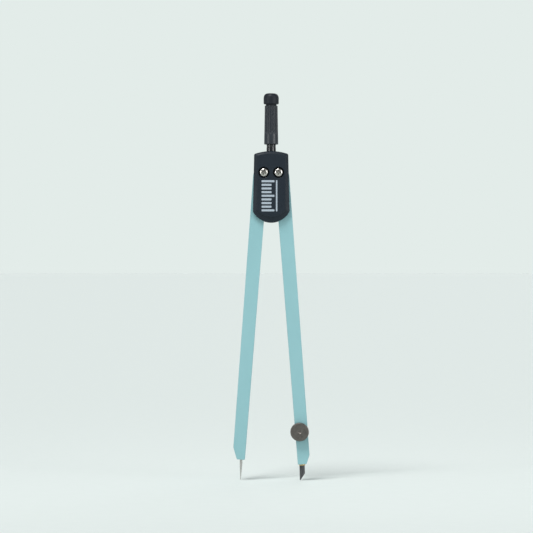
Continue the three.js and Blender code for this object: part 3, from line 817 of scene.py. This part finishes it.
def thumb_screw(material):
    low, high = span("thumb_screw")
    centre = (low + high) / 2
    radius = (high.x - low.x) / 2
    face, under, shank, end = low.y + 0.02, -2.42, 1.24, high.y
    knurls, knurl_depth = 48, 0.13
    rings = [(0, face + 0.34), (0.3, face + 0.31), (0.52, face + 0.14), (0.62, face + 0.03), (0.8, face)]
    rings += [(0.8 + 0.06 * k, face + 0.004 * (k % 2)) for k in range(1, 38)]
    rings += [(radius - 0.42, face + 0.01), (radius - 0.22, face + 0.08), (radius - 0.05, face + 0.26),
              (radius, face + 0.4)]
    rings += [(radius, face + 0.4 + (under - 0.35 - face - 0.4) * k / 8) for k in range(1, 9)]
    rings += [(radius - 0.08, under - 0.12), (radius - 0.25, under), (shank, under), (shank, under + 0.4)]
    pitch, depth = 0.45, 0.22
    count = int((end - 0.3 - under - 0.5) / pitch * 8)
    rings += [(shank, under + 0.5 + pitch / 8 * k) for k in range(count)]
    rings += [(shank - depth, end - 0.15), (shank - 0.4, end), (0, end)]

    def surface(r, h, angle):
        if r > radius - 0.15 and face + 0.2 < h < under - 0.05:
            ridge = abs((angle * knurls / (2 * math.pi)) % 1 * 2 - 1)
            return r - knurl_depth * (1 - ridge) ** 0.8
        if r == shank and h > under + 0.45:
            phase = (h / pitch - angle / (2 * math.pi)) % 1
            return r - depth * abs(2 * phase - 1)
        return r

    body = along_y(turned(rings, knurls * 6, surface), centre.x, centre.z)
    finished(body, "thumb_screw_fine", "thumb_screw", "thumb_screw", material, 40)


# ------------------------------------------------------------------ studio
def studio():
    """A pale floor and a matching pale surround, lit softly from above with a strip light at each side."""
    world = bpy.data.worlds.new("surround")
    bpy.context.scene.world = world
    world.use_nodes = True
    nodes, links = world.node_tree.nodes, world.node_tree.links
    soft_light = nodes["Background"]
    soft_light.inputs["Color"].default_value = (0.35, 0.365, 0.37, 1)
    backdrop = nodes.new("ShaderNodeBackground")
    backdrop.inputs["Color"].default_value = (0.768, 0.839, 0.815, 1)
    seen, mix = nodes.new("ShaderNodeLightPath"), nodes.new("ShaderNodeMixShader")
    links.new(seen.outputs["Is Camera Ray"], mix.inputs["Fac"])
    links.new(soft_light.outputs["Background"], mix.inputs[1])
    links.new(backdrop.outputs["Background"], mix.inputs[2])
    links.new(mix.outputs["Shader"], nodes["World Output"].inputs["Surface"])

    floor = Finish("floor_pale", (0.68, 0.735, 0.715), 0.9, Specular_IOR_Level=0.1)
    floor.tint(floor.noise(6, detail=3), (0.69, 0.745, 0.725))
    bm = bmesh.new()
    bmesh.ops.create_grid(bm, x_segments=8, y_segments=8, size=30)
    plane = to_object(bm, "floor")
    plane.location.z = -0.0001
    plane.data.materials.append(floor.material)

    def light(name, kind, place, towards, energy, colour=(1, 1, 1)):
        data = bpy.data.lights.new(name, kind)
        data.energy = energy
        data.color = colour
        obj = bpy.data.objects.new(name, data)
        obj.location = place
        direction = Vector(towards) - Vector(place)
        obj.rotation_euler = direction.to_track_quat("-Z", "Y").to_euler()
        bpy.context.scene.collection.objects.link(obj)
        return data

    for name, strength, softness, place in (("key", 2.2, 25, (-0.4, -0.7, 1.38)),
                                            ("fill", 0.55, 40, (0.9, -0.8, 0.43)),
                                            ("back", 0.6, 40, (0.3, 1.0, 0.6))):
        light(name, "SUN", place, (0, 0, 0.08), strength).angle = math.radians(softness)
    for name, x, energy in (("left_strip", -0.4, 0.085), ("right_strip", 0.42, 0.07)):
        strip = light(name, "AREA", (x, -0.32, 0.2), (0, 0, 0.14), energy)
        strip.shape = "RECTANGLE"
        strip.size, strip.size_y = 0.05, 0.25
        strip.spread = math.radians(70)


def camera():
    """Straight on, from far enough for a long lens, framed as wide as the legs open."""
    data = bpy.data.cameras.new("camera")
    obj = bpy.data.objects.new("camera", data)
    bpy.context.scene.collection.objects.link(obj)
    view_width, distance = 0.1999, 1.0
    data.sensor_width = 36
    data.lens = data.sensor_width * distance / view_width
    obj.location = (-0.00176, -distance, 0.08006)
    obj.rotation_euler = (math.pi / 2, 0, 0)
    data.clip_start, data.clip_end = 0.01, 60
    bpy.context.scene.camera = obj


camera()
studio()
bpy.context.scene.view_settings.view_transform = "Standard"
head()
handle_stem()
grip_sleeve()
grip_cap()
mint = mint_paint()
dull_nickel = nickel("thumb_nickel", middle("thumb_screw"), (0.18, 0.165, 0.152), 0.34)
needle_leg(mint, nickel("grub_nickel", middle("needle_grub_screw")))
lead_leg(mint)
collet(turned_brass())
lead(graphite())
thumb_screw(dull_nickel)
washer("thumb_screw_washer", 1.35, 0.1, "clamp_washer", ground_steel())

bpy.context.view_layer.update()
